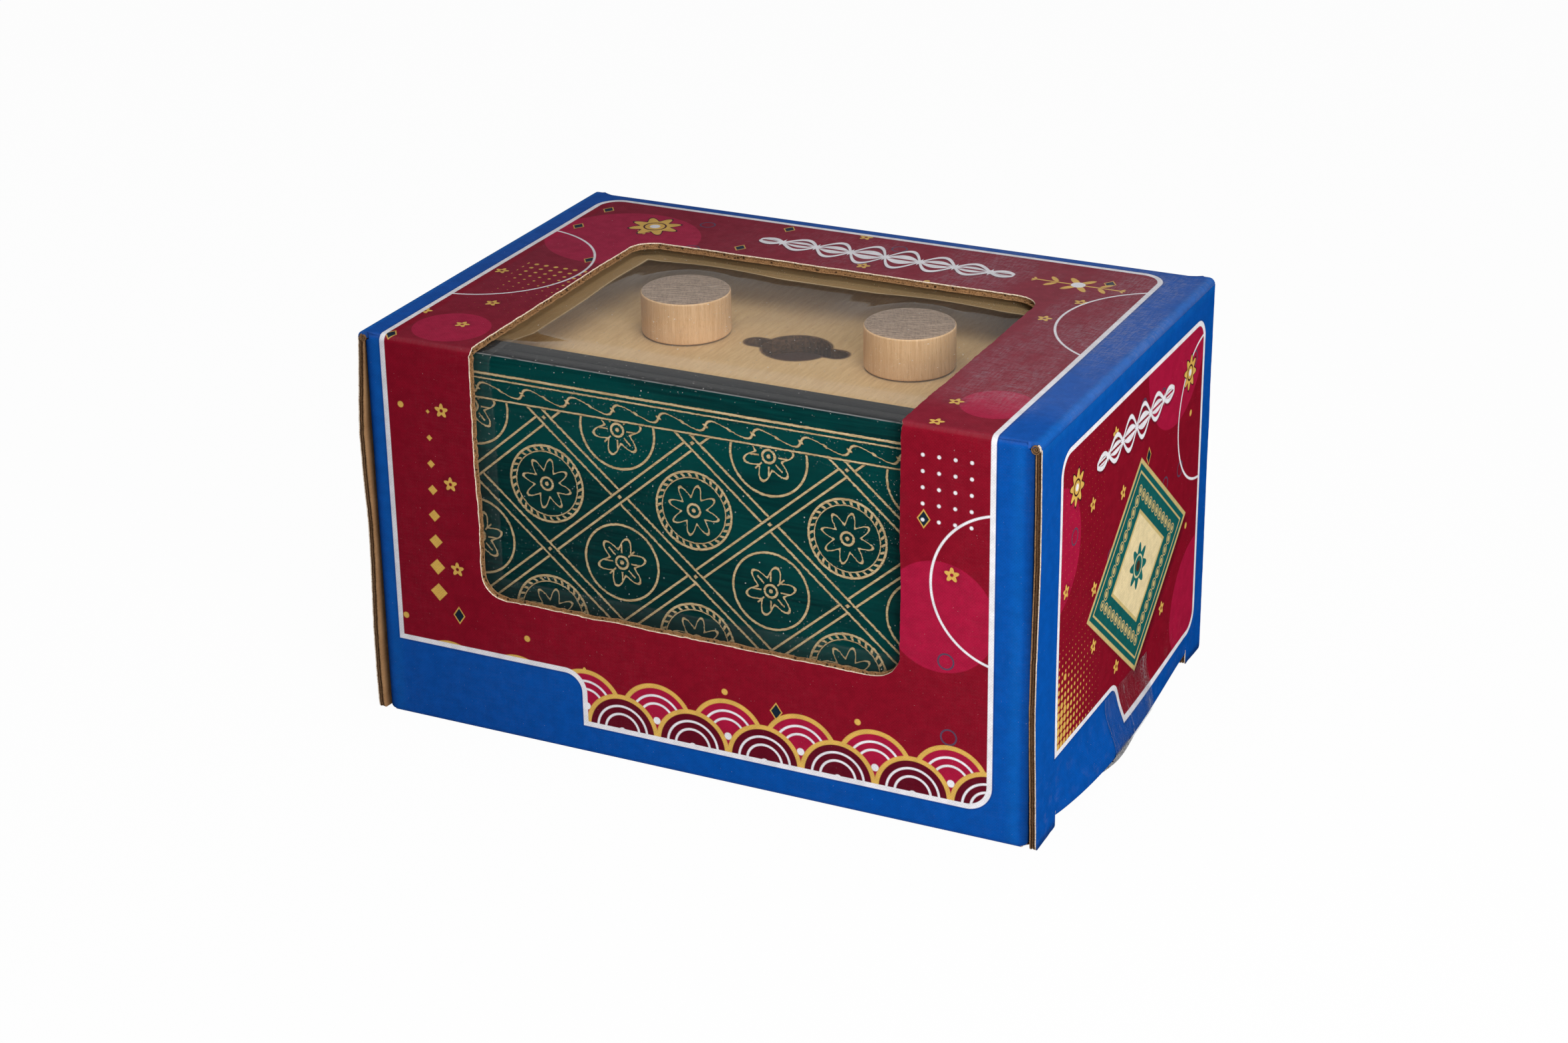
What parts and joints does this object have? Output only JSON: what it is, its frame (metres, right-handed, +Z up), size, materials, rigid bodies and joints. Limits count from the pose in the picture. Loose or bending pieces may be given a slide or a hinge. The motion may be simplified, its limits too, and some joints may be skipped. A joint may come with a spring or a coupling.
{
  "type": "boxed wooden secret box",
  "caption": "Locking wooden secret box with two knobs and a keyhole, packed in a window carton with tucked end flaps.",
  "frame": {"origin": "middle of the carton's underside, on the table", "axes": "+X to the right along the carton's width, +Y to the back, +Z up; the printed front with the window faces -Y"},
  "size_m": [0.1651, 0.1106, 0.0955],
  "materials": {
    "printed_board": "litho-laminated corrugated board, satin print",
    "raw_board": "unprinted brown liner, matte",
    "window_film": "clear film, gloss",
    "tape": "clear packing tape, gloss",
    "stained_ply": "green stain with laser-engraved lines, satin",
    "charred_ply": "laser-cut, charred edge, satin",
    "bare_ply": "sanded birch plywood, matte",
    "burnt_ply": "plywood browned by the laser, matte",
    "knob_wood": "turned beech, matte",
    "screw_steel": "zinc-plated steel"
  },
  "bodies": {
    "root": {"carton_sleeve": "printed_board", "window_film": "window_film", "front_panel": "stained_ply", "front_liner": "stained_ply", "back_panel": "stained_ply", "left_wall": "stained_ply", "right_wall": "stained_ply", "base_panel": "bare_ply", "front_lid_cleat": "bare_ply", "back_lid_cleat": "bare_ply", "lid_board": "bare_ply", "keyhole_backing": "burnt_ply", "left_bolt_guides": "bare_ply", "right_bolt_guides": "bare_ply", "lock_cover": "bare_ply", "cover_screws": "screw_steel"},
    "right_end_flap": {"right_end_flap": "printed_board", "tape_seal": "tape"},
    "right_tuck_tab": {"right_tuck_tab": "raw_board"},
    "right_front_dust_flap": {"right_front_dust_flap": "raw_board"},
    "right_back_dust_flap": {"right_back_dust_flap": "raw_board"},
    "left_end_flap": {"left_end_flap": "printed_board"},
    "left_tuck_tab": {"left_tuck_tab": "raw_board"},
    "left_front_dust_flap": {"left_front_dust_flap": "raw_board"},
    "left_back_dust_flap": {"left_back_dust_flap": "raw_board"},
    "left_knob": {"left_knob": "knob_wood", "left_spindle": "knob_wood", "left_pinion": "bare_ply"},
    "left_bolt": {"left_bolt": "bare_ply"},
    "right_knob": {"right_knob": "knob_wood", "right_spindle": "knob_wood", "right_pinion": "bare_ply"},
    "right_bolt": {"right_bolt": "bare_ply"}
  },
  "joints": [
    {"name": "right_end_flap_crease", "type": "hinge", "parent": "root", "child": "right_end_flap", "pos_m": [0.0825, 0, 0.09395], "axis": [0, -1, 0], "range_deg": [0, 100]},
    {"name": "right_tuck_crease", "type": "hinge", "parent": "right_end_flap", "child": "right_tuck_tab", "pos_m": [0.08095, 0, 0.00345], "axis": [0, -1, 0], "range_deg": [-45, 0]},
    {"name": "right_front_dust_crease", "type": "hinge", "parent": "root", "child": "right_front_dust_flap", "pos_m": [0.0809, -0.0537, 0.049], "axis": [0, 0, -1], "range_deg": [0, 90]},
    {"name": "right_back_dust_crease", "type": "hinge", "parent": "root", "child": "right_back_dust_flap", "pos_m": [0.0809, 0.0537, 0.049], "axis": [0, 0, 1], "range_deg": [0, 90]},
    {"name": "left_end_flap_crease", "type": "hinge", "parent": "root", "child": "left_end_flap", "pos_m": [-0.0825, 0, 0.09395], "axis": [0, 1, 0], "range_deg": [0, 100]},
    {"name": "left_tuck_crease", "type": "hinge", "parent": "left_end_flap", "child": "left_tuck_tab", "pos_m": [-0.08095, 0, 0.00345], "axis": [0, 1, 0], "range_deg": [-45, 0]},
    {"name": "left_front_dust_crease", "type": "hinge", "parent": "root", "child": "left_front_dust_flap", "pos_m": [-0.0809, -0.0537, 0.049], "axis": [0, 0, 1], "range_deg": [0, 90]},
    {"name": "left_back_dust_crease", "type": "hinge", "parent": "root", "child": "left_back_dust_flap", "pos_m": [-0.0809, 0.0537, 0.049], "axis": [0, 0, -1], "range_deg": [0, 90]},
    {"name": "left_knob_turn", "type": "hinge", "parent": "root", "child": "left_knob", "pos_m": [-0.0301, 0.00435, 0.0829], "axis": [0, 0, 1], "range_deg": [0, 45]},
    {"name": "left_bolt_slide", "type": "slide", "parent": "root", "child": "left_bolt", "axis": [1, 0, 0], "range_m": [0, 0.00394]},
    {"name": "right_knob_turn", "type": "hinge", "parent": "root", "child": "right_knob", "pos_m": [0.0271, 0.00435, 0.0829], "axis": [0, 0, 1], "range_deg": [0, 45]},
    {"name": "right_bolt_slide", "type": "slide", "parent": "root", "child": "right_bolt", "axis": [-1, 0, 0], "range_m": [0, 0.00394]}
  ],
  "couplings": [
    {"joint": "right_tuck_crease", "follows": "right_end_flap_crease", "ratio": -0.45},
    {"joint": "right_front_dust_crease", "follows": "right_end_flap_crease", "ratio": 0.9},
    {"joint": "right_back_dust_crease", "follows": "right_end_flap_crease", "ratio": 0.9},
    {"joint": "left_tuck_crease", "follows": "left_end_flap_crease", "ratio": -0.45},
    {"joint": "left_front_dust_crease", "follows": "left_end_flap_crease", "ratio": 0.9},
    {"joint": "left_back_dust_crease", "follows": "left_end_flap_crease", "ratio": 0.9},
    {"joint": "left_bolt_slide", "follows": "left_knob_turn", "m_per_rad": 0.005},
    {"joint": "right_bolt_slide", "follows": "right_knob_turn", "m_per_rad": 0.005}
  ]
}
